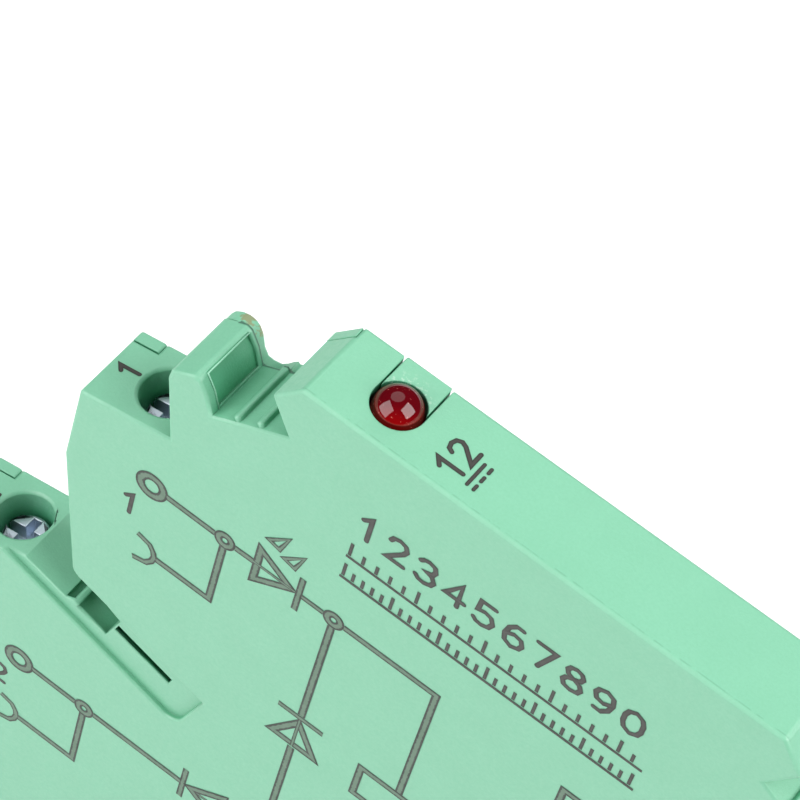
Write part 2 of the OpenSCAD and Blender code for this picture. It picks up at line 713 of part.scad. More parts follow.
// Coil: flat bobbin with its winding and core, lying along the relay
yoke_t = 1.0;
coil_gap = 0.75;
coil_x0 = relay_x0 + coil_in;
coil_x1 = nc_x - pin_t / 2 - coil_gap - yoke_t;
coil_up = 7.2;
coil_z = relay_z + coil_up;
core_w = 1.4;
core_h = 4.4;
tube_wall = 0.3;
flange_t = 0.6;
flange_low = 4.0;
flange_high = 4.2;
flange_z0 = coil_z - flange_low;
flange_z1 = coil_z + flange_high;
wind_w = relay_w - 2 * case_wall - 2 * case_gap;
wind_h = 6.9;
pole_gap = 0.6;
module coil_section(w, h) {
    for (s = [-1, 1]) translate([s * (h - w) / 2, 0]) circle(d = w);
    square([h - w, w], center = true);
}
module along_coil(x0, x1) translate([x0, 0, coil_z]) rotate([0, 90, 0]) linear_extrude(x1 - x0) children();
module coil_bobbin() color("ivory") difference() {
    union() {
        along_coil(coil_x0, coil_x1) square([core_h + 2 * tube_wall, core_w + 2 * tube_wall], center = true);
        for (x = [coil_x0, coil_x1 - flange_t])
            block(x, flange_z0, x + flange_t, flange_z1, -wind_w / 2, wind_w / 2);
    }
    along_coil(coil_x0 - eps, coil_x1 + eps) square([core_h, core_w], center = true);
}
module coil_winding() color("orangered") difference() {
    along_coil(coil_x0 + flange_t, coil_x1 - flange_t) coil_section(wind_w, wind_h);
    along_coil(coil_x0, coil_x1) square([core_h + 2 * tube_wall, core_w + 2 * tube_wall], center = true);
}
module coil_core() color("gray") along_coil(coil_x0 - pole_t, coil_x1) square([core_h, core_w], center = true);
pole_t = 0.3;
armature_t = 0.9;
armature_x = coil_x0 - pole_t - pole_gap - armature_t;
yoke_front = armature_x + armature_t + free_gap;
yoke_y0 = -wind_w / 2;
yoke_y1 = coil_pin_y - pin_t / 2 - free_gap;
module yoke() color("dimgray") {
    block(yoke_front, base_top, coil_x1 + yoke_t, base_top + yoke_t, yoke_y0, yoke_y1);
    block(coil_x1, base_top, coil_x1 + yoke_t, coil_z + core_h / 2 + tube_wall, yoke_y0, yoke_y1);
}

// Armature, card and moving contact
card_h = 1.2;
card_w = 2.4;
card_z = flange_z1 + free_gap;
card_gap = 0.08;
blade_t = 0.2;
blade_w = 3.0;
blade_x = com_x - blade_t / 2;
rivet_down = 2.4;
rivet_z = card_z - rivet_down;
rivet_d = 2.2;
rivet_h = 0.5;
contact_gap = 0.62;
touch_gap = 0.05;
plate_t = 0.4;
module armature() color("dimgray")
    block(armature_x, base_top + slide_gap, armature_x + armature_t, card_z + card_h, yoke_y0, -yoke_y0);
module pusher_card() color("ivory")
    block(armature_x + armature_t + card_gap, card_z, blade_x - card_gap, card_z + card_h, -card_w / 2, card_w / 2);
module rivet(x, h) translate([x, 0, rivet_z]) rotate([0, 90, 0]) cylinder(d = rivet_d, h = h);
module moving_contact() color("goldenrod") {
    block(blade_x, base_top + blade_t, blade_x + blade_t, card_z + card_h, -blade_w / 2, blade_w / 2);
    rivet(blade_x - rivet_h, 2 * rivet_h + blade_t);
}
module common_pin() color("goldenrod") {
    block(com_x - pin_t / 2, pin_low, com_x + pin_t / 2, base_top, -pin_w / 2, pin_w / 2);
}
nc_plate_x = blade_x - rivet_h - touch_gap - rivet_h - plate_t;
no_plate_x = blade_x + blade_t + rivet_h + contact_gap + rivet_h;
plate_top = card_z - free_gap;
module fixed_contact(plate_x, pin_x, rivet_x) {
    block(plate_x, base_top, plate_x + plate_t, plate_top, -post_y, post_y);
    block(min(plate_x, pin_x - pin_t / 2), base_top, max(plate_x + plate_t, pin_x + pin_t / 2), base_top + plate_t,
        -post_y, post_y);
    block(pin_x - pin_t / 2, pin_low, pin_x + pin_t / 2, base_top + eps, -pin_w / 2, pin_w / 2);
    rivet(rivet_x, rivet_h + eps);
}
module fixed_contact_nc() color("goldenrod") fixed_contact(nc_plate_x, nc_x, nc_plate_x + plate_t - eps);
module fixed_contact_no() color("goldenrod") fixed_contact(no_plate_x, no_x, no_plate_x - rivet_h);

// Terminal screw with a combined slot and cross
recess_w = 0.7;
recess_d = 0.9;
cross_share = 0.72;
head_edge = 0.25;
module screw() color("lightsteelblue") difference() {
    union() {
        translate([0, 0, head_low]) cylinder(d = head_d, h = head_h - head_edge);
        translate([0, 0, head_top - head_edge]) cylinder(d1 = head_d, d2 = head_d - 2 * head_edge, h = head_edge);
        translate([0, 0, bar_top]) cylinder(d = thread_d, h = head_low - bar_top + eps);
    }
    translate([-head_d, -recess_w / 2, head_top - recess_d]) cube([2 * head_d, recess_w, recess_d + eps]);
    translate([-recess_w / 2, -head_d * cross_share / 2, head_top - recess_d])
        cube([recess_w, head_d * cross_share, recess_d + eps]);
}
module screw_a1() at_terminal(A1) screw();
module screw_a2() at_terminal(A2) screw();
module screw_no() at_terminal(NO) screw();
module screw_com() at_terminal(COM) screw();
module screw_nc() at_terminal(NC) screw();

// Rising clamp cage, open along the wire
module cage() color("lightgray") difference() {
    block(-cage_len / 2, cage_low, cage_len / 2, cage_roof + cage_top_t, -cage_w / 2, cage_w / 2);
    block(-cage_len, cage_low + cage_wall, cage_len, cage_roof, -cage_w / 2 + cage_wall, cage_w / 2 - cage_wall);
    translate([0, 0, cage_roof - eps]) cylinder(d = thread_d + 2 * seat_gap, h = cage_top_t + 2 * eps);
}
module cage_a1() at_terminal(A1) cage();
module cage_a2() at_terminal(A2) cage();
module cage_no() at_terminal(NO) cage();
module cage_com() at_terminal(COM) cage();
module cage_nc() at_terminal(NC) cage();

// Spring latch that grips under the rail's flange
module rail_latch() color("seagreen") difference() {
    union() {
        across(-latch_w / 2, latch_w / 2) polygon([
            [-latch_reach, latch_z1], [-latch_reach, latch_z1 - hook_lip], [-rail_w / 2, latch_z0],
            [-grip_x - grip_l + hook_lip, latch_z0], [-grip_x - grip_l, latch_z0 + hook_lip],
            [-grip_x - grip_l, hook_gap], [-grip_x, hook_gap], [-grip_x, latch_z1]]);
        block(-lug_x - lug_t, latch_z1 - eps, -lug_x, lug_top, -latch_w / 2, latch_w / 2);
    }
    across(-latch_w, latch_w) {
        for (x = [-guide_x, -guide_x + latch_travel]) translate([x, guide_z]) circle(d = guide_d + 2 * slide_gap);
        translate([-guide_x, guide_z - guide_d / 2 - slide_gap]) square([latch_travel, guide_d + 2 * slide_gap]);
    }
    // Eye for a screwdriver's blade
    block(-grip_x - grip_l * eye_shares[1], latch_z0 - eps, -grip_x - grip_l * eye_shares[0], hook_gap + eps,
        -latch_w * eye_width_share / 2, latch_w * eye_width_share / 2);
}

// Compression spring: a round wire swept along its helix
ring_n = 6;
turn_steps = 16;
spring_x0 = -spring_wall_x + spring_wire / 2 + seat_gap;
spring_x1 = -lug_x - lug_t - spring_wire / 2 - seat_gap;
spring_r = (spring_d - spring_wire) / 2;
spring_n = spring_turns * turn_steps;
function coil_at(i) = let (a = 360 * i / turn_steps)
    [spring_x0 + (spring_x1 - spring_x0) * i / spring_n, spring_r * cos(a), spring_r * sin(a)];
function coil_ring(i) = let (a = 360 * i / turn_steps, c = coil_at(i), r = spring_wire / 2)
    [for (j = [0 : ring_n - 1]) let (b = 360 * j / ring_n)
        c + r * [sin(b), cos(b) * cos(a), cos(b) * sin(a)]];
module latch_spring() color("silver") translate([0, y_mid, spring_z])
    polyhedron(
        points = [for (i = [0 : spring_n]) each coil_ring(i)],
        faces = concat(
            [[for (j = [0 : ring_n - 1]) j]],
            [for (i = [0 : spring_n - 1]) for (j = [0 : ring_n - 1]) each
                let (a = i * ring_n + j, b = i * ring_n + (j + 1) % ring_n)
                    [[a, a + ring_n, b], [b, a + ring_n, b + ring_n]]],
            [[for (j = [ring_n - 1 : -1 : 0]) spring_n * ring_n + j]]));

housing();
cover();
led();
led_leads();
circuit_board();
rectifier_diodes();
resistors();
current_bar_a1();
current_bar_a2();
current_bar_com();
current_bar_nc();
current_bar_no();
coil_links();
relay_case();
relay_base();
coil_bobbin();
coil_winding();
coil_core();
yoke();
coil_pins();
armature();
pusher_card();
moving_contact();
fixed_contact_nc();
fixed_contact_no();
common_pin();
screw_a1();
screw_a2();
screw_no();
screw_com();
screw_nc();
cage_a1();
cage_a2();
cage_no();
cage_com();
cage_nc();
rail_latch();
latch_spring();
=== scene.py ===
import bpy, bmesh, json, math
from mathutils import Matrix, Vector


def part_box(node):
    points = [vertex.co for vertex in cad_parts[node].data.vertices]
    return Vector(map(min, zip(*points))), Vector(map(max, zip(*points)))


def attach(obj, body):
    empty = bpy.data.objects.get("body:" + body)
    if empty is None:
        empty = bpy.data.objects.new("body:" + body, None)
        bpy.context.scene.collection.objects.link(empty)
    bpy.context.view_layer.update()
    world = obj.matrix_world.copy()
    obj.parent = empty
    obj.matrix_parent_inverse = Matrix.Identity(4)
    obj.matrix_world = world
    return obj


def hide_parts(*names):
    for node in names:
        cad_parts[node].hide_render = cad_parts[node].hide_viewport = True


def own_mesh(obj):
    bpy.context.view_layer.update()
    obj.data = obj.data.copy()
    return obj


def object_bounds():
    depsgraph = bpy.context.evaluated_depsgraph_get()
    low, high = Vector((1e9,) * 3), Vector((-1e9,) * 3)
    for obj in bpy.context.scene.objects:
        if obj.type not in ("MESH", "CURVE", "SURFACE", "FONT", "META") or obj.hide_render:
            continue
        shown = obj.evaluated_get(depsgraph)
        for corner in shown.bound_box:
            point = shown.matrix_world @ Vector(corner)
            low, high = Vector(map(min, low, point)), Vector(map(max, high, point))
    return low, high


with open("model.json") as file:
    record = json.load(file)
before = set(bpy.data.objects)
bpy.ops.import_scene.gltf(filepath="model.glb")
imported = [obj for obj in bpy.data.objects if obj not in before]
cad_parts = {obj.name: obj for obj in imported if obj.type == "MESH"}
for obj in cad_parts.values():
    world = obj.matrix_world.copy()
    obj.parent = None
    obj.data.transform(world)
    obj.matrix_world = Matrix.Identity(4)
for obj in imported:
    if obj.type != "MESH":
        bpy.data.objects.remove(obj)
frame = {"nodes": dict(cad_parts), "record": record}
cad_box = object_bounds()
scene = bpy.context.scene
nodes_cad = frame["nodes"]
MM = 0.001
WHITE = (1, 1, 1, 1)

# Places on the module, in millimetres in the CAD frame unless they carry MM
SIDE_Y = -3.1
TOP_Z = 89.2
LED_AT = Vector((-12.2, 0, 88.6)) * MM
# Where each screw's axis meets its tier's face, and the way from the tier's outer corner inwards
TILT = math.radians(13)
SCREWS = {"a1": (-26.50, 75.99, 1), "a2": (-34.70, 53.39, 1), "no": (26.50, 75.99, -1),
          "com": (34.70, 53.39, -1), "nc": (37.90, 30.79, -1)}
# The recess in the hump's wall: its outline from the groove's floor upwards, and its near and far ends
RECESS = ((-22.0, 81.25), (-22.58, 82.65), (-23.29, 83.67))
RECESS_Y = (-2.3, 1.7)

# Camera at the photo's angle, solved from the directions of its straight edges
RIGHT = Vector((0.7931, 0.5797, 0.1872)).normalized()
UP = Vector((-0.5707, 0.5998, 0.5608)).normalized()
BACK = RIGHT.cross(UP).normalized()
UP = BACK.cross(RIGHT)
CAMERA_AT = Vector((36.2, -125.6, 273.3)) * MM

cam = bpy.data.cameras.new("camera")
cam.lens = 180
cam.sensor_width = 36
cam.clip_start = 0.005
cam.clip_end = 20
camera = bpy.data.objects.new("camera", cam)
scene.collection.objects.link(camera)
camera.matrix_world = Matrix((
    (RIGHT.x, UP.x, BACK.x, CAMERA_AT.x),
    (RIGHT.y, UP.y, BACK.y, CAMERA_AT.y),
    (RIGHT.z, UP.z, BACK.z, CAMERA_AT.z),
    (0, 0, 0, 1)))
scene.camera = camera
scene.view_settings.view_transform = "Standard"
scene.view_settings.look = "None"

# Materials: where most of a noise lies, samples for edge and hollow nodes, and noise scales per metre
NOISE_LOW, NOISE_HIGH = 0.3, 0.7
NODE_SAMPLES = 6
MOTTLE_SCALE, CLOUD_SCALE, SPECK_SCALE = 420, 60, 5200
SHEEN_SCALE, FINE_SCALE = 2600, 7000
STAIN_SCALE, DRAWN_SCALE = 900, 5000
FLASH_SCALE, CHIP_SCALE, RAGGED_SCALE = 1500, 4200, 3000
WOBBLE_SCALE, INK_SHEEN_SCALE = 5000, 1800


class Shader:
    """A node material: a principled shader and short calls for the nodes that feed it."""

    def __init__(self, name, **values):
        self.name = name
        self.mat = bpy.data.materials.new(name)
        self.mat.use_nodes = True
        self.tree = self.mat.node_tree
        self.bsdf = self.tree.nodes["Principled BSDF"]
        for key, value in values.items():
            self.bsdf.inputs[key.replace("_", " ")].default_value = value
        self.coords = self.node("ShaderNodeTexCoord").outputs["Object"]

    def node(self, kind, inputs=None, **props):
        n = self.tree.nodes.new(kind)
        for key, value in props.items():
            setattr(n, key, value)
        for key, value in (inputs or {}).items():
            self.put(n.inputs[key], value)
        return n

    def put(self, socket, value):
        if isinstance(value, bpy.types.NodeSocket):
            self.tree.links.new(value, socket)
        else:
            socket.default_value = value

    def set(self, key, value):
        self.put(self.bsdf.inputs[key], value)

    def noise(self, scale, detail=2, rough=0.5, stretch=None):
        coords = self.coords
        if stretch:
            coords = self.node("ShaderNodeMapping", {"Vector": coords, "Scale": stretch}).outputs[0]
        return self.node("ShaderNodeTexNoise", {"Vector": coords, "Scale": scale, "Detail": detail,
                                                "Roughness": rough}).outputs["Fac"]

    def span(self, value, low, high, to_low=0.0, to_high=1.0, smooth=False):
        n = self.node("ShaderNodeMapRange", {"Value": value, "From Min": low, "From Max": high,
                                             "To Min": to_low, "To Max": to_high})
        if smooth:
            n.interpolation_type = "SMOOTHSTEP"
        return n.outputs[0]

    def spread(self, value, to_low=0.0, to_high=1.0):
        """A noise's usual range drawn out to another."""
        return self.span(value, NOISE_LOW, NOISE_HIGH, to_low, to_high)

    def math(self, kind, a, b=0.0):
        n = self.node("ShaderNodeMath", operation=kind)
        self.put(n.inputs[0], a)
        self.put(n.inputs[1], b)
        return n.outputs[0]

    def times(self, share, *others):
        """The product of several shares."""
        for other in others:
            share = self.math("MULTIPLY", share, other)
        return share

    def vector_math(self, kind, a, b, output):
        return self.node("ShaderNodeVectorMath", {0: a, 1: b}, operation=kind).outputs[output]

    def mix(self, fac, a, b, kind="MIX"):
        n = self.node("ShaderNodeMix", data_type="RGBA", blend_type=kind)
        self.put(n.inputs[0], fac)
        self.put(n.inputs[6], a)
        self.put(n.inputs[7], b)
        return n.outputs[2]

    def bump(self, height, strength, depth, edge):
        """A bumped surface whose edges look rounded."""
        edges = self.node("ShaderNodeBevel", {"Radius": edge}, samples=NODE_SAMPLES).outputs[0]
        return self.node("ShaderNodeBump", {"Height": height, "Strength": strength, "Distance": depth,
                                            "Normal": edges}).outputs[0]

    def axis(self, which):
        return self.node("ShaderNodeSeparateXYZ", {0: self.coords}).outputs[which]


# How strongly each pattern of the plastic shows, the depth of its grain, and the softness of edges
MOTTLE_SHARE, CLOUD_SHARE, SPECK_SHARE = 0.35, 0.18, 0.5
GRAIN = 0.03 * MM
PLASTIC_EDGE = 0.1 * MM
SCRATCH_DEPTH = 0.01 * MM
METAL_EDGE = 0.06 * MM


def plastic(name, colour, deeper, rough=0.5, scatter=0.06, marks=None):
    """Matt moulded plastic with a fine eroded surface, faint mottling and softened edges."""
    s = Shader(name, Roughness=rough, IOR=1.55, Specular_IOR_Level=0.85)
    mottle = s.span(s.noise(MOTTLE_SCALE, 3), 0.35, 0.65)
    cloud = s.spread(s.noise(CLOUD_SCALE))
    speck = s.spread(s.noise(SPECK_SCALE))
    for pattern, share in ((mottle, MOTTLE_SHARE), (cloud, CLOUD_SHARE), (speck, SPECK_SHARE)):
        colour = s.mix(s.times(pattern, share), colour, deeper)
    if marks:
        colour = marks(s, colour)
    s.set("Base Color", colour)
    s.set("Roughness", s.spread(s.noise(SHEEN_SCALE), rough - 0.05, rough + 0.07))
    s.set("Subsurface Weight", scatter)
    s.set("Subsurface Radius", (0.6, 1.0, 0.8))
    s.set("Subsurface Scale", 0.5 * MM)
    s.set("Normal", s.bump(s.noise(FINE_SCALE, 3, 0.6), 0.5, GRAIN, PLASTIC_EDGE))
    return s


def near(s, point, reach, ragged=0.0):
    """One close to a point and nought beyond its reach, with a ragged border."""
    far = s.vector_math("DISTANCE", s.coords, tuple(Vector(point) * MM), "Value")
    border = s.spread(s.noise(RAGGED_SCALE, 3), -ragged * MM, ragged * MM)
    return s.span(s.math("ADD", far, border), 0.75 * reach * MM, 1.1 * reach * MM, 1.0, 0.0)


def band(s, which, middle, half):
    """One within a thin slab across an axis, and nought outside it."""
    off = s.math("ABSOLUTE", s.math("SUBTRACT", s.axis(which), middle * MM))
    return s.span(off, 0.6 * half * MM, half * MM, 1.0, 0.0)


def between(s, which, low, high):
    """One where an axis lies between two places, and nought elsewhere."""
    place = s.axis(which)
    return s.math("MULTIPLY", s.math("GREATER_THAN", place, low * MM), s.math("LESS_THAN", place, high * MM))


# Marks and painted shade on the green plastic: places and reaches in millimetres, and colours
HOLLOW_SHADE_REACH = 3
HOLLOW_SHADE_TINT = (0.30, 0.68, 0.54, 1)
GATES = (((-24.0, 2.9, 83.3), 0.5), ((-23.25, 3.0, 82.8), 0.45))
GATE_RAGGED = 0.3
GATE_TINT = (0.20, 0.17, 0.06, 1)
NEAR_TOP_Z = 88.95
FLASH_Y, FLASH_HALF = -2.82, 0.06
FLASH_TINT = (0.07, 0.24, 0.15, 1)
SEAM_SHADE_Y, SEAM_SHADE_HALF = 2.15, 0.24
SEAM_SHADE_TINT = (0.012, 0.09, 0.05, 1)
SIDE_FACING = 0.9
HUMP_X, HUMP_Z = (-24.3, -17.6), (79.0, 84.5)
RECESS_X, RECESS_Z = (-23.6, -22.2), (81.2, 83.5)
RECESS_RIM = 0.03
RECESS_SHADE_TINT = (0.52, 0.84, 0.72, 1)
CHIPS_AT, CHIPS_REACH, CHIPS_Y = (-12.2, 0.4, 89.2), 2.05, 0.9
CHIP_TINT = (0.40, 0.56, 0.46, 1)


def moulding_marks(s, colour):
    """Painted shade in hollows, gate marks on the hump, a flash line on the top's near edge, painted shade along
    the seam on the hump's outer faces, painted shade in the recess in its wall and pale chips by the light."""
    # Painted shade: the colour darkens where ambient occlusion finds the surface hidden in a hollow
    hollow = s.node("ShaderNodeAmbientOcclusion", {"Distance": HOLLOW_SHADE_REACH * MM}, samples=NODE_SAMPLES).outputs["AO"]
    shade = s.mix(s.span(hollow, 0.25, 0.9), HOLLOW_SHADE_TINT, WHITE)
    colour = s.mix(1.0, colour, shade, "MULTIPLY")

    gates = [near(s, at, reach, GATE_RAGGED) for at, reach in GATES]
    colour = s.mix(s.times(s.math("MAXIMUM", *gates), 0.75), colour, GATE_TINT)

    at_top = s.math("GREATER_THAN", s.axis(2), NEAR_TOP_Z * MM)
    broken = s.span(s.noise(FLASH_SCALE, 3), 0.42, 0.56)
    flash = s.times(band(s, 1, FLASH_Y, FLASH_HALF), at_top, broken)
    colour = s.mix(s.times(flash, 0.4), colour, FLASH_TINT)

    # Painted shade: a dark band along the seam between housing and cover, on the hump's outer faces
    normal = s.node("ShaderNodeNewGeometry").outputs["Normal"]
    facing_far = s.node("ShaderNodeSeparateXYZ", {0: normal}).outputs[1]
    outer = s.math("LESS_THAN", s.math("ABSOLUTE", facing_far), SIDE_FACING)
    in_hump = s.times(outer, between(s, 0, *HUMP_X), between(s, 2, *HUMP_Z))
    seam = s.times(band(s, 1, SEAM_SHADE_Y, SEAM_SHADE_HALF), in_hump)
    colour = s.mix(s.times(seam, 0.9), colour, SEAM_SHADE_TINT)

    # Painted shade: the recess in the hump's wall is darkened
    recess_shade = s.times(between(s, 1, RECESS_Y[0] + RECESS_RIM, RECESS_Y[1] - RECESS_RIM),
                        between(s, 0, *RECESS_X), between(s, 2, *RECESS_Z))
    colour = s.mix(s.times(recess_shade, 0.9), colour, s.mix(1.0, colour, RECESS_SHADE_TINT, "MULTIPLY"))

    behind = s.math("GREATER_THAN", s.axis(1), CHIPS_Y * MM)
    chips = s.times(s.span(s.noise(CHIP_SCALE, 3, 0.6), 0.55, 0.62), near(s, CHIPS_AT, CHIPS_REACH), behind, at_top)
    return s.mix(s.times(chips, 0.55), colour, CHIP_TINT)


def metal(name, colour, other, rough, stretch, scratch=0.25):
    """Plated or drawn metal with fine lines along one way and slight stains."""
    s = Shader(name, Metallic=1.0, Roughness=rough)
    s.set("Base Color", s.mix(s.span(s.noise(STAIN_SCALE, 4, 0.6), 0.35, 0.7), colour, other))
    lines = s.noise(DRAWN_SCALE, 3, 0.6, stretch)
    s.set("Roughness", s.spread(lines, rough - 0.06, rough + 0.12))
    s.set("Normal", s.bump(lines, scratch, SCRATCH_DEPTH, METAL_EDGE))
    return s


def red_lens(name):
    """Red lens: dark on top, with a painted glow low at the front where the light gathers, given by a brighter red
    and a faint emission, painted shade where it sinks below the top face, and a few painted glints.
    """
    s = Shader(name, Roughness=0.03, IOR=1.49)
    # Painted light: the red grows brighter towards the low front, where light gathers in the lens
    towards = s.vector_math("SUBTRACT", s.coords, tuple(LED_AT), "Vector")
    low_front = s.vector_math("DOT_PRODUCT", towards, (0.35, -0.70, -0.50), "Value")
    glow = s.span(low_front, -0.5 * MM, 1.35 * MM, smooth=True)
    depth = s.mix(glow, (0.080, 0.0008, 0.003, 1), (0.21, 0.0008, 0.0008, 1))
    # Painted shade: the lens turns nearly black where it sinks below the top face
    sunk_shade = s.span(s.axis(2), (TOP_Z + 0.02) * MM, (TOP_Z + 0.08) * MM, 0.8, 0.0)
    depth = s.mix(sunk_shade, depth, (0.004, 0.0006, 0.001, 1))
    # Painted glints: a few pale specks in the lens
    painted_glints = s.times(s.span(s.noise(SPECK_SCALE), 0.69, 0.73), 0.35)
    s.set("Base Color", s.mix(painted_glints, depth, (0.85, 0.25, 0.20, 1)))
    # Painted glow: a faint red emission, strongest at the low front, though the light is not lit
    s.set("Emission Color", s.mix(glow, (0.010, 0, 0.001, 1), (0.11, 0, 0, 1)))
    s.set("Emission Strength", 0.6)
    return s


SLOT_SHADERS = {s.name: s for s in (
    plastic("green_plastic", (0.158, 0.430, 0.278, 1), (0.138, 0.392, 0.246, 1), marks=moulding_marks),
    plastic("latch_plastic", (0.10, 0.36, 0.20, 1), (0.08, 0.31, 0.17, 1)),
    plastic("relay_plastic", (0.022, 0.023, 0.026, 1), (0.030, 0.031, 0.034, 1), 0.42, 0.0),
    plastic("white_nylon", (0.80, 0.78, 0.70, 1), (0.74, 0.71, 0.62, 1), 0.45, 0.3),
    metal("zinc_plated_steel", (0.64, 0.71, 0.80, 1), (0.57, 0.64, 0.73, 1), 0.33, (1, 1, 0.12), 0.02),
    metal("tinned_copper", (0.72, 0.70, 0.66, 1), (0.60, 0.57, 0.52, 1), 0.32, (0.1, 1, 1)),
    metal("contact_brass", (0.80, 0.58, 0.28, 1), (0.68, 0.46, 0.20, 1), 0.28, (1, 1, 0.1)),
    metal("spring_steel", (0.50, 0.50, 0.52, 1), (0.38, 0.38, 0.40, 1), 0.25, (1, 0.2, 0.2)),
    metal("soft_iron", (0.40, 0.39, 0.38, 1), (0.28, 0.27, 0.26, 1), 0.42, (0.2, 1, 1), 0.4),
    metal("enamelled_copper", (0.75, 0.26, 0.10, 1), (0.60, 0.18, 0.06, 1), 0.22, (0.02, 1, 1), 0.8),
    plastic("board_laminate", (0.015, 0.12, 0.05, 1), (0.010, 0.09, 0.035, 1), 0.3, 0.0),
    plastic("chip_resin", (0.018, 0.018, 0.020, 1), (0.03, 0.03, 0.03, 1), 0.5, 0.0),
    red_lens("red_lens"),
)}

SLOT_OF = {part["node"]: part["material_slot"] for part in frame["record"]["subparts"]}
BODY_OF = {node: body for body, nodes in frame["record"]["behaviour"]["bodies"].items() for node in nodes}
for node, slot in SLOT_OF.items():
    obj = nodes_cad[node]
    obj.data.materials.clear()
    obj.data.materials.append(SLOT_SHADERS[slot].mat)


def linked(name, bm, shader):
    """A linked object from a bmesh, with its material."""
    mesh = bpy.data.meshes.new(name)
    bm.to_mesh(mesh)
    bm.free()
    mesh.materials.append(shader.mat)
    obj = bpy.data.objects.new(name, mesh)
    scene.collection.objects.link(obj)
    return obj


# Moulded edges: the seam's place, edge and gap, the zone of fine edges round the light, the least width that is
# rounded, the distances that count as none, and the turns from which an edge is rounded or shaded sharp
SEAM_Y = 2.1 * MM
SEAM_EDGE = 0.05 * MM
SEAM_GAP = 0.1 * MM
LIGHT_ZONE = 3.4 * MM
LEAST_EDGE = 0.02 * MM
SAME_POINT = 2e-6
ON_SEAM = 1e-6
ROUNDED_FROM = math.radians(25)
SHARP_FROM = math.radians(32)


def beside(p, a, b):
    """Distance from a point to the stretch between two others, or far where it lies beyond an end."""
    way = b - a
    off = p - a - way * max(0.0, min(1.0, (p - a).dot(way) / max(way.length_squared, 1e-18)))
    if off.length > 1e-9 and abs(off.normalized().dot(way.normalized())) > 0.6:
        return 1.0
    return off.length


def room_beside(e, rounded):
    """Widest rounding of an edge that leaves its neighbours whole."""
    a, b = (v.co for v in e.verts)
    along = (b - a).normalized()
    room = 1.0
    for face in e.link_faces:
        for g in face.edges:
            if g is e:
                continue
            shared = [v for v in e.verts if v in g.verts]
            if shared:
                way = (g.other_vert(shared[0]).co - shared[0].co).normalized()
                if abs(way.dot(along)) < 0.8:
                    room = min(room, 0.38 * g.calc_length())
                continue
            c, d = (v.co for v in g.verts)
            gap = min(beside(a, c, d), beside(b, c, d), beside(c, a, b), beside(d, a, b))
            room = min(room, gap * (0.42 if g in rounded else 0.75))
    return room


def soft_copy(node, wide, steps=2, shape=None, most=None):
    """A copy of a CAD node with its outer edges rounded, each no wider than its neighbours allow.

    shape() may move the copy's points first, and most() gives the widest rounding at a place."""
    bm = bmesh.new()
    bm.from_mesh(nodes_cad[node].data)
    bmesh.ops.remove_doubles(bm, verts=bm.verts, dist=SAME_POINT)
    bmesh.ops.dissolve_limit(bm, angle_limit=math.radians(1), verts=bm.verts, edges=bm.edges)
    weight = bm.edges.layers.float.new("bevel_weight_edge")
    if shape:
        shape(bm)
    rounded = {e for e in bm.edges if e.is_manifold and e.is_convex and e.calc_face_angle() > ROUNDED_FROM}
    for e in rounded:
        width = min(wide, room_beside(e, rounded))
        if all(abs(v.co.y - SEAM_Y) < ON_SEAM for v in e.verts):
            width = min(width, SEAM_EDGE)
        middle = (e.verts[0].co + e.verts[1].co) / 2
        from_light = middle - LED_AT
        if from_light.xy.length < LIGHT_ZONE and from_light.z > -LIGHT_ZONE / 4:
            width = min(width, SEAM_EDGE)
        if most:
            width = min(width, most(middle))
        if width > LEAST_EDGE:
            e[weight] = width / wide
    if node == "cover":
        for v in bm.verts:
            if abs(v.co.y - SEAM_Y) < ON_SEAM:
                v.co.y += SEAM_GAP
    for f in bm.faces:
        f.smooth = True
    for e in bm.edges:
        e.smooth = not e.is_manifold or e.calc_face_angle() < SHARP_FROM
    obj = linked(node + "_finish", bm, SLOT_SHADERS[SLOT_OF[node]])
    bevel = obj.modifiers.new("edges", "BEVEL")
    bevel.limit_method = "WEIGHT"
    bevel.width = wide
    bevel.segments = steps
    bevel.use_clamp_overlap = False
    normals = obj.modifiers.new("normals", "WEIGHTED_NORMAL")
    normals.keep_sharp = True
    normals.weight = 100
    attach(obj, BODY_OF.get(node, "module"))
    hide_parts(node)


# The cover's short steps at the groove's end stay crisp
STEP_AT = (20.2, 82.1)
STEP_REACH = 1.0


def crisp_steps(p):
    off = Vector((abs(p.x) / MM - STEP_AT[0], p.z / MM - STEP_AT[1]))
    return 0.0 if off.length < STEP_REACH else 1.0


soft_copy("housing", 0.22 * MM)
soft_copy("cover", 0.18 * MM, most=crisp_steps)
soft_copy("rail_latch", 0.2 * MM)

# The latch's spring: a copy with a mesh of its own, attached to its body
spring = bpy.data.objects.new("latch_spring_coil", nodes_cad["latch_spring"].data.copy())
scene.collection.objects.link(spring)
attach(spring, BODY_OF.get("latch_spring", "module"))
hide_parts("latch_spring")
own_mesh(spring)

# Clamp screws: a slightly raised head with a broad round rim and a crisp cross recess
HEAD_FROM = -2.12 * MM
HEAD_RAISED = 0.35 * MM
HEAD_EDGE = 0.3 * MM
CROSS_REACH = 1.4 * MM
CROSS_EDGE = 0.04 * MM


def screw_copy(key, x, z, way):
    axis = Vector((-way * math.sin(TILT), 0, math.cos(TILT)))
    low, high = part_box("screw_" + key)
    at = Vector((x * MM, (low.y + high.y) / 2, z * MM))

    def raise_head(bm):
        for v in bm.verts:
            if (v.co - at).dot(axis) > HEAD_FROM:
                v.co += axis * HEAD_RAISED

    def crisp_recess(p):
        off = p - at
        return 1.0 if (off - axis * off.dot(axis)).length > CROSS_REACH else CROSS_EDGE

    soft_copy("screw_" + key, HEAD_EDGE, steps=4, shape=raise_head, most=crisp_recess)


for key, place in SCREWS.items():
    screw_copy(key, *place)


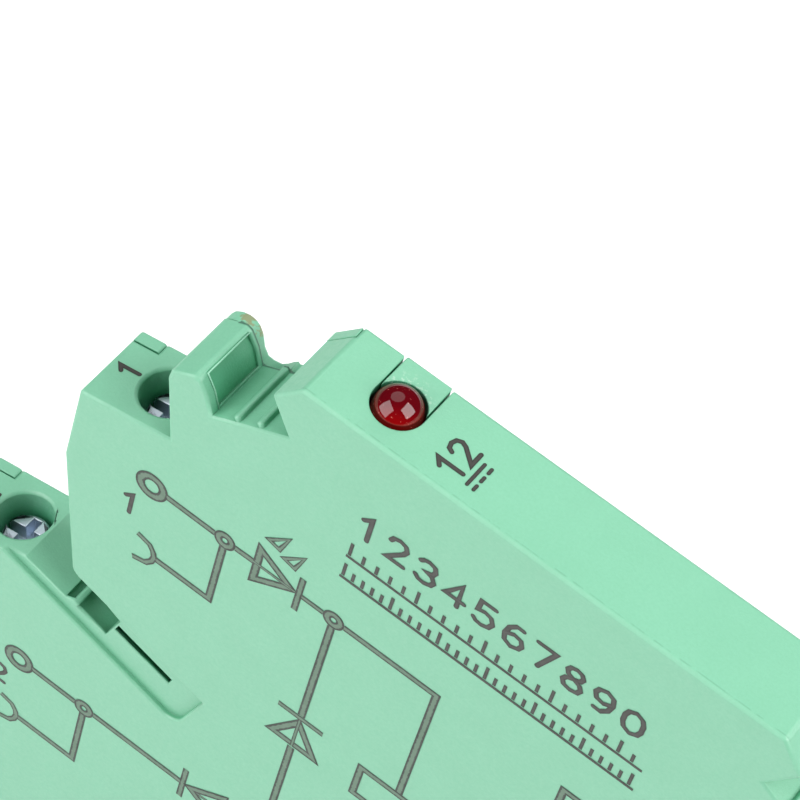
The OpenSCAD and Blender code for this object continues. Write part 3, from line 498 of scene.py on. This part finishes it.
def turns(count):
    """The angles of equal steps round a circle."""
    return [2 * math.pi * k / count for k in range(count)]


def skin(bm, rings):
    """Faces between each ring of points and the next. A ring of one point is a tip."""
    for a, b in zip(rings, rings[1:]):
        count = max(len(a), len(b))
        for k in range(count):
            j = (k + 1) % count
            if len(a) == 1:
                bm.faces.new((a[0], b[j], b[k]))
            elif len(b) == 1:
                bm.faces.new((a[k], a[j], b[0]))
            else:
                bm.faces.new((a[k], a[j], b[j], b[k]))


def rod(path, radius, sides):
    """A thin round rod along a path, mitred at its corners."""
    bm = bmesh.new()
    rings = []
    for k, p in enumerate(path):
        way_in = (p - path[k - 1]).normalized() if k else (path[1] - p).normalized()
        way_out = (path[k + 1] - p).normalized() if k < len(path) - 1 else way_in
        along = (way_in + way_out).normalized()
        u = (u - along * u.dot(along)).normalized() if rings else along.orthogonal().normalized()
        w = along.cross(u)
        reach = radius / max(0.5, along.dot(way_out))
        rings.append([bm.verts.new(p + (u * math.cos(t) + w * math.sin(t)) * reach) for t in turns(sides)])
    skin(bm, rings)
    bm.faces.new(rings[0][::-1])
    bm.faces.new(rings[-1])
    bmesh.ops.recalc_face_normals(bm, faces=bm.faces)
    for f in bm.faces:
        f.smooth = len(f.verts) == 4
    return bm


def lathe(profile, centre, steps):
    """A turned shape from its radii and heights, closed on its axis at both ends."""
    bm = bmesh.new()
    rings = [[bm.verts.new((centre[0] + r * math.cos(t), centre[1] + r * math.sin(t), z))
              for t in (turns(steps) if r else [0])] for r, z in profile]
    skin(bm, rings)
    bmesh.ops.recalc_face_normals(bm, faces=bm.faces)
    for f in bm.faces:
        f.smooth = True
    for e in bm.edges:
        e.smooth = e.calc_face_angle(0) < TURNED_SHARP
    return bm


# A fine bead in a lighter green along the near and upper border of the hump's recess: a painted highlight of that
# border's lit edge
BEAD = 0.05 * MM
BEAD_SIDES = 8
bead_path = [Vector((x, RECESS_Y[0], z)) * MM for x, z in RECESS]
bead_path.append(Vector((RECESS[-1][0], RECESS_Y[1], RECESS[-1][1])) * MM)
bead = linked("recess_highlight_bead", rod(bead_path, BEAD, BEAD_SIDES),
              plastic("bead_highlight_plastic", (0.24, 0.55, 0.38, 1), (0.21, 0.50, 0.34, 1)))
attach(bead, "module")

# The light: a flange, a body and a true half sphere
LED_R = 1.6 * MM
FLANGE_HIGH = 1.0 * MM
FLANGE_EDGE = 0.1 * MM
DOME_STEPS = 24
LED_STEPS = 72
TURNED_SHARP = math.radians(40)
led_low, led_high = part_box("led")
dome_z = led_high.z - LED_R
dome_turns = [math.pi / 2 * k / DOME_STEPS for k in range(DOME_STEPS)]
dome = [(LED_R * math.cos(t), dome_z + LED_R * math.sin(t)) for t in dome_turns] + [(0, led_high.z)]
flange_r = (led_high.x - led_low.x) / 2
flange_z = led_low.z + FLANGE_HIGH
flange = [(0, led_low.z), (flange_r - FLANGE_EDGE, led_low.z), (flange_r, led_low.z + FLANGE_EDGE),
          (flange_r, flange_z - FLANGE_EDGE), (flange_r - FLANGE_EDGE, flange_z), (LED_R, flange_z)]
lens_piece = linked("led_lens", lathe(flange + dome, LED_AT, LED_STEPS), SLOT_SHADERS["red_lens"])
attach(lens_piece, "module")
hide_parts("led")


def ink(name, dark, core):
    """Printing ink: dark at the edge of each line and lighter in its middle, a little uneven."""
    s = Shader(name, Roughness=0.5)
    across = s.node("ShaderNodeAttribute", attribute_name="across").outputs["Fac"]
    wobble = s.math("ADD", across, s.spread(s.noise(WOBBLE_SCALE), -0.12, 0.12))
    s.set("Base Color", s.mix(s.span(wobble, 0.38, 0.62, smooth=True), core, dark))
    s.set("Roughness", s.spread(s.noise(INK_SHEEN_SCALE), 0.42, 0.6))
    return s


line_ink = ink("print_line", (0.022, 0.028, 0.022, 1), (0.092, 0.158, 0.108, 1))
text_ink = ink("print_digit", (0.022, 0.021, 0.019, 1), (0.036, 0.035, 0.030, 1))

# Printed strokes, in millimetres: the ink's height, the step from one stroke to the next over a few levels, and
# the step from one point of a stroke to the next, so that no two faces lie in one plane
INK_UP = 0.012
INK_STEP = 0.0015
INK_LEVELS = 9
ROW_STEP = 0.0004
END_STEPS = 6
RING_STEPS = 36


class Print:
    """Flat strokes on a plane, collected into one mesh. place() turns a flat point into the model's frame."""

    def __init__(self, place):
        self.place = place
        self.up = 0
        self.bm = bmesh.new()
        self.layer = self.bm.verts.layers.float.new("across")

    def vert(self, p, across):
        v = self.bm.verts.new(self.place(p, INK_UP + self.up))
        v[self.layer] = across
        return v

    def quad_strip(self, rows):
        for a, b in zip(rows, rows[1:]):
            for i in range(len(a) - 1):
                self.bm.faces.new((a[i], a[i + 1], b[i + 1], b[i]))

    def round_end(self, row, p, q, half):
        """A half disc past the end p of a line that comes from q."""
        out = (p - q).normalized() * half
        turn = Vector((-out.y, out.x))
        angles = [math.pi * k / END_STEPS for k in range(1, END_STEPS)]
        arc = [self.vert(p + turn * math.cos(a) + out * math.sin(a), 1) for a in angles]
        ends = [row[0], row[2]]
        first = min(ends, key=lambda e: (e.co - Vector(self.place(p + turn, INK_UP))).length)
        last = ends[1] if first is ends[0] else ends[0]
        fan = [first] + arc + [last]
        for a, b in zip(fan, fan[1:]):
            self.bm.faces.new((row[1], a, b))

    def stroke(self, points, width, closed=False, rounded=False):
        """A line of one width along the points, mitred at its corners."""
        self.up = (self.up + INK_STEP) % (INK_LEVELS * INK_STEP)
        first_up = self.up
        half = width / 2
        pts = [Vector(p) for p in points]
        n = len(pts)
        rows = []
        for i, p in enumerate(pts):
            before = pts[i - 1] if i or closed else None
            after = pts[(i + 1) % n] if i < n - 1 or closed else None
            u = (p - before).normalized() if before else (after - p).normalized()
            v = (after - p).normalized() if after else u
            side = Vector((-u.y, u.x)) + Vector((-v.y, v.x))
            side = side * (2 / max(side.length_squared, 0.5)) * half
            rows.append([self.vert(p + side * t, abs(t)) for t in (-1, 0, 1)])
            self.up += ROW_STEP
        self.up = first_up
        if closed:
            rows.append(rows[0])
        self.quad_strip(rows)
        if rounded:
            self.round_end(rows[0], pts[0], pts[1], half)
            self.round_end(rows[-1], pts[-1], pts[-2], half)

    def ring(self, centre, radius, width):
        self.stroke([(centre[0] + radius * math.cos(t), centre[1] + radius * math.sin(t))
                     for t in turns(RING_STEPS)], width, closed=True)

    def finish(self, name, shader):
        bmesh.ops.recalc_face_normals(self.bm, faces=self.bm.faces)
        obj = linked(name, self.bm, shader)
        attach(obj, "module")


def on_side(p, up):
    return Vector((p[0], SIDE_Y - up, p[1])) * MM


def on_top(p, up):
    return Vector((p[0], p[1], TOP_Z + up)) * MM


# Digits as one stroke each, in a cell 0.6 wide and 1 high
DIGITS = {
    "0": [(0.3, 0), (0.08, 0.12), (0, 0.35), (0, 0.65), (0.08, 0.88), (0.3, 1), (0.52, 0.88), (0.6, 0.65),
          (0.6, 0.35), (0.52, 0.12), (0.3, 0)],
    "1": [(0.08, 0.78), (0.34, 1), (0.34, 0)],
    "2": [(0.02, 0.78), (0.1, 0.94), (0.3, 1), (0.5, 0.93), (0.58, 0.74), (0.5, 0.55), (0.04, 0), (0.6, 0)],
    "3": [(0.03, 0.85), (0.14, 0.96), (0.3, 1), (0.5, 0.93), (0.56, 0.75), (0.5, 0.58), (0.28, 0.52), (0.5, 0.46),
          (0.6, 0.26), (0.52, 0.08), (0.3, 0), (0.12, 0.03), (0, 0.15)],
    "4": [(0.44, 0), (0.44, 1), (0, 0.3), (0.62, 0.3)],
    "5": [(0.55, 1), (0.08, 1), (0.05, 0.55), (0.28, 0.62), (0.5, 0.55), (0.6, 0.32), (0.5, 0.08), (0.28, 0),
          (0.1, 0.03), (0, 0.13)],
    "6": [(0.5, 0.97), (0.28, 0.98), (0.08, 0.75), (0, 0.4), (0.05, 0.13), (0.28, 0), (0.52, 0.1), (0.6, 0.3),
          (0.52, 0.52), (0.28, 0.58), (0.05, 0.45)],
    "7": [(0, 1), (0.6, 1), (0.2, 0)],
    "8": [(0.3, 0.53), (0.1, 0.62), (0.04, 0.78), (0.12, 0.94), (0.3, 1), (0.48, 0.94), (0.56, 0.78), (0.5, 0.62),
          (0.3, 0.53), (0.08, 0.42), (0, 0.25), (0.08, 0.06), (0.3, 0), (0.52, 0.06), (0.6, 0.25), (0.52, 0.42),
          (0.3, 0.53)],
    "9": [(0.1, 0.03), (0.32, 0.02), (0.52, 0.25), (0.6, 0.6), (0.55, 0.87), (0.32, 1), (0.08, 0.9), (0, 0.7),
          (0.08, 0.48), (0.32, 0.42), (0.55, 0.55)],
}


def digits(sheet, text, at, height, width, pitch=0, along=(1, 0)):
    """Plain digits from a corner, running along a direction on the sheet."""
    ax = Vector(along).normalized()
    ay = Vector((-ax.y, ax.x))
    for k, c in enumerate(text):
        sheet.stroke([Vector(at) + ax * (k * pitch + x * height) + ay * (y * height) for x, y in DIGITS[c]],
                     width, rounded=True)


# Wiring diagram with common symbols, on the near side: line widths, and shapes from each symbol's own place
LINE, LEAD_LINE, THIN = 0.56, 0.46, 0.26
RING_R, RING_LINE, RING_EDGE = 0.88, 0.7, 1.15
JOINT_R, JOINT_LINE, JOINT_EDGE = 0.5, 0.6, 0.8
TRIANGLE, TRIANGLE_LINE = ((-3.2, -1.65), (-0.6, 0), (-3.2, 1.65)), 0.6
DIODE_LONG, DIODE_BAR, BAR_LINE = 3.5, 1.75, 0.48
ARROW, ARROW_LINE = ((0, 0), (1.3, 1.35), (0.85, -0.25)), 0.36
FORK, FORK_LINE = ((0, 0), (-0.12, 0.5), (-0.5, 1.02), (-1.5, 1.32)), 0.46
COIL_BOX = ((-5.75, 58.7), (0.1, 58.7), (0.1, 55.6), (-5.75, 55.6))
# Places along and up the module
NODE_A = (-18.96, 70.96)
NODE_B = (-10.63, 71.0)
NODE_C = (-25.5, 42.85)
FEED_Z = 71.0
RETURN_Z = 42.9
COIL_X = -2.85
FORK_A_Z, FORK_C_Z = 64.2, 36.1
POLE_X, THROW_X = 12.4, 16.4


def terminal_ring(sheet, x, z):
    sheet.ring((x, z), RING_R, RING_LINE)
    return (x + RING_EDGE, z)


def joint(sheet, at):
    sheet.ring(at, JOINT_R, JOINT_LINE)


def diode(sheet, x, z, turn):
    """A diode's triangle and bar from the bar's middle, pointing along a direction, with its line through it."""
    c, s = math.cos(turn), math.sin(turn)

    def place(u, v):
        return (x + u * c - v * s, z + u * s + v * c)

    sheet.stroke([place(*p) for p in TRIANGLE], TRIANGLE_LINE, closed=True)
    sheet.stroke([place(-DIODE_LONG, 0), place(0, 0)], THIN)
    sheet.stroke([place(0, -DIODE_BAR), place(0, DIODE_BAR)], BAR_LINE)


def light_arrow(sheet, x, z):
    sheet.stroke([(x + u, z + v) for u, v in ARROW], ARROW_LINE, closed=True)


def fork(sheet, x, z):
    for way in (1, -1):
        sheet.stroke([(x + u, z + v * way) for u, v in FORK], FORK_LINE)


side = Print(on_side)
start = terminal_ring(side, -24.65, FEED_Z)
side.stroke([start, (NODE_A[0] - JOINT_EDGE, NODE_A[1])], LINE)
joint(side, NODE_A)
side.stroke([(NODE_A[0] + JOINT_EDGE, NODE_A[1]), (-16.8, FEED_Z)], LINE)
diode(side, -13.3, FEED_Z, 0)
side.stroke([(-13.05, FEED_Z), (NODE_B[0] - JOINT_EDGE, FEED_Z)], LEAD_LINE)
light_arrow(side, -16.2, 74.1)
light_arrow(side, -14.9, 73.35)
joint(side, NODE_B)
side.stroke([(NODE_B[0] + JOINT_EDGE, FEED_Z), (COIL_X, FEED_Z), (COIL_X, 59.0)], LINE)
side.stroke(COIL_BOX, LINE, closed=True)
side.stroke([(COIL_X, 55.3), (COIL_X, RETURN_Z), (-13.6, RETURN_Z)], LINE)
side.stroke([(NODE_A[0], NODE_A[1] - JOINT_EDGE), (NODE_A[0], FORK_A_Z), (-23.2, FORK_A_Z)], LINE)
fork(side, -23.3, FORK_A_Z)
side.stroke([(NODE_B[0], NODE_B[1] - JOINT_EDGE), (NODE_B[0], 59.4)], LINE)
diode(side, NODE_B[0], 59.1, math.pi / 2)
side.stroke([(NODE_B[0], 55.5), (NODE_B[0], RETURN_Z + 0.3)], LINE)
start = terminal_ring(side, -31.1, RETURN_Z)
side.stroke([start, (NODE_C[0] - JOINT_EDGE, NODE_C[1])], LINE)
joint(side, NODE_C)
side.stroke([(NODE_C[0] + JOINT_EDGE, RETURN_Z), (-17.3, RETURN_Z)], LINE)
diode(side, -17.1, RETURN_Z, math.pi)
side.stroke([(NODE_C[0], NODE_C[1] - JOINT_EDGE), (NODE_C[0], FORK_C_Z), (-30.3, FORK_C_Z)], LINE)
fork(side, -30.4, FORK_C_Z)
# Output side: changeover contact and its three terminals
terminal_ring(side, 24.65, FEED_Z)
side.stroke([(23.5, FEED_Z), (6.65, FEED_Z), (6.65, 66.6)], LINE)
side.stroke([(POLE_X, 53.4), (POLE_X, 57.6), (7.6, 66.2)], LINE)
side.stroke([(POLE_X, 64.2), (POLE_X, 68.4), (THROW_X, 68.4), (THROW_X, 22.6), (31.2, 22.6)], LINE)
side.stroke([(10.2, 64.2), (12.1, 64.2)], LINE)
terminal_ring(side, 32.4, 22.6)
side.stroke([(POLE_X, 53.4), (POLE_X, 45.4), (28.0, 45.4)], LINE)
terminal_ring(side, 29.2, 45.4)
side.finish("print_diagram", line_ink)

# Plain numbers beside the diagram's terminals
NUMBERS = {"1": (-26.4, 66.9), "2": (-33.0, 38.9), "3": (24.6, 66.4), "4": (30.4, 41.2), "5": (33.4, 18.2)}
NUMBER_HIGH, NUMBER_LINE = 1.9, 0.34
numbers = Print(on_side)
for digit, at in NUMBERS.items():
    digits(numbers, digit, at, NUMBER_HIGH, NUMBER_LINE)
# A plain scale of ten numbers over two rows of ticks. Each row has its height, count and pitch
SCALE_X, SCALE_Z, SCALE_LONG = -11.0, 80.35, 21.4
SCALE_PITCH, SCALE_HIGH, SCALE_LINE = 2.12, 2.15, 0.36
TICK_ROWS = ((78.0, 22, 0.98), (75.8, 31, 0.7))
TICK, FIFTH_TICK, TICK_LINE = 0.8, 1.25, 0.24
for k in range(10):
    digits(numbers, str((k + 1) % 10), (SCALE_X + k * SCALE_PITCH, SCALE_Z), SCALE_HIGH, SCALE_LINE)
for z, count, pitch in TICK_ROWS:
    for k in range(count):
        x = SCALE_X + k * pitch
        numbers.stroke([(x, z), (x, z + (TICK if k % 5 else FIFTH_TICK))], TICK_LINE)
    numbers.stroke([(SCALE_X - 0.2, z - 0.2), (SCALE_X + SCALE_LONG, z - 0.2)], TICK_LINE)
numbers.finish("print_numbers", text_ink)

# The light's number on the top face, with a line and three dashes beside it
top_print = Print(on_top)
digits(top_print, "12", (-6.7, -1.9), 1.75, 0.30, pitch=1.35, along=(0, 1))
top_print.stroke([(-6.15, -1.7), (-6.15, 0.1)], TICK_LINE, rounded=True)
for k in range(3):
    top_print.stroke([(-5.65, -1.75 + 0.75 * k), (-5.65, -1.4 + 0.75 * k)], TICK_LINE, rounded=True)
top_print.finish("print_top", text_ink)

# Terminal numbers on the sloping faces beside the screws: the screw's way in and up from its tier's outer corner,
# and the number's place along and across the face
SCREW_IN, SCREW_UP = 4.46, 1.03
LABEL_IN, LABEL_ASIDE = 2.15, 0.45
LABEL_HIGH, LABEL_LINE = 1.45, 0.30


def tier_face(x, z, way):
    """Turns a point on a tier's face, measured inwards from its outer corner, into the model's frame."""
    def place(p, up):
        return Vector((x + way * (p[0] * math.cos(TILT) - up * math.sin(TILT)), p[1],
                       z + p[0] * math.sin(TILT) + up * math.cos(TILT))) * MM
    return place


for number, (x, z, way) in enumerate(SCREWS.values(), 1):
    label = Print(tier_face(x - way * SCREW_IN, z - SCREW_UP, way))
    digits(label, str(number), (LABEL_IN, -way * LABEL_ASIDE), LABEL_HIGH, LABEL_LINE, along=(0, way))
    label.finish("print_terminal_" + str(number), text_ink)

# Floor: plain and pale, at the part's lowest point
FLOOR_HALF = 3
bm = bmesh.new()
bmesh.ops.create_grid(bm, x_segments=2, y_segments=2, size=FLOOR_HALF)
pale = Shader("pale_floor", Roughness=0.9)
pale.set("Base Color", pale.mix(pale.noise(30), (0.78, 0.78, 0.78, 1), (0.80, 0.80, 0.80, 1)))
pale.set("Emission Color", WHITE)
pale.set("Emission Strength", 0.08)
floor = linked("floor", bm, pale)
floor.location = (0, 0, cad_box[0][2])

# Light: a dim world, and soft boxes placed by the photo's highlights in the lens, at one distance from it
WORLD_LIGHT = 0.03
LIGHT_FAR = 0.8
world = bpy.data.worlds.new("studio")
scene.world = world
world.use_nodes = True
background = world.node_tree.nodes["Background"].inputs
background["Color"].default_value = WHITE
background["Strength"].default_value = WORLD_LIGHT


def softbox(name, direction, size, watts, shape="SQUARE"):
    light = bpy.data.lights.new(name, "AREA")
    light.shape = shape
    light.size = size
    light.energy = watts
    obj = bpy.data.objects.new(name, light)
    d = Vector(direction).normalized()
    obj.location = LED_AT + d * LIGHT_FAR
    obj.rotation_euler = d.to_track_quat("Z", "Y").to_euler()
    scene.collection.objects.link(obj)
    return obj


softbox("softbox_left", (-0.534, -0.696, 0.479), 0.78, 8.9)
softbox("softbox_right", (0.728, 0.043, 0.684), 0.72, 10.2)
softbox("softbox_top", (-0.376, 0.299, 0.877), 0.76, 2.0, shape="DISK")
# The light from behind stays out of the lens' reflections
fill = softbox("softbox_back", (-0.10, 0.93, 0.36), 0.50, 3.2)
fill.visible_glossy = False
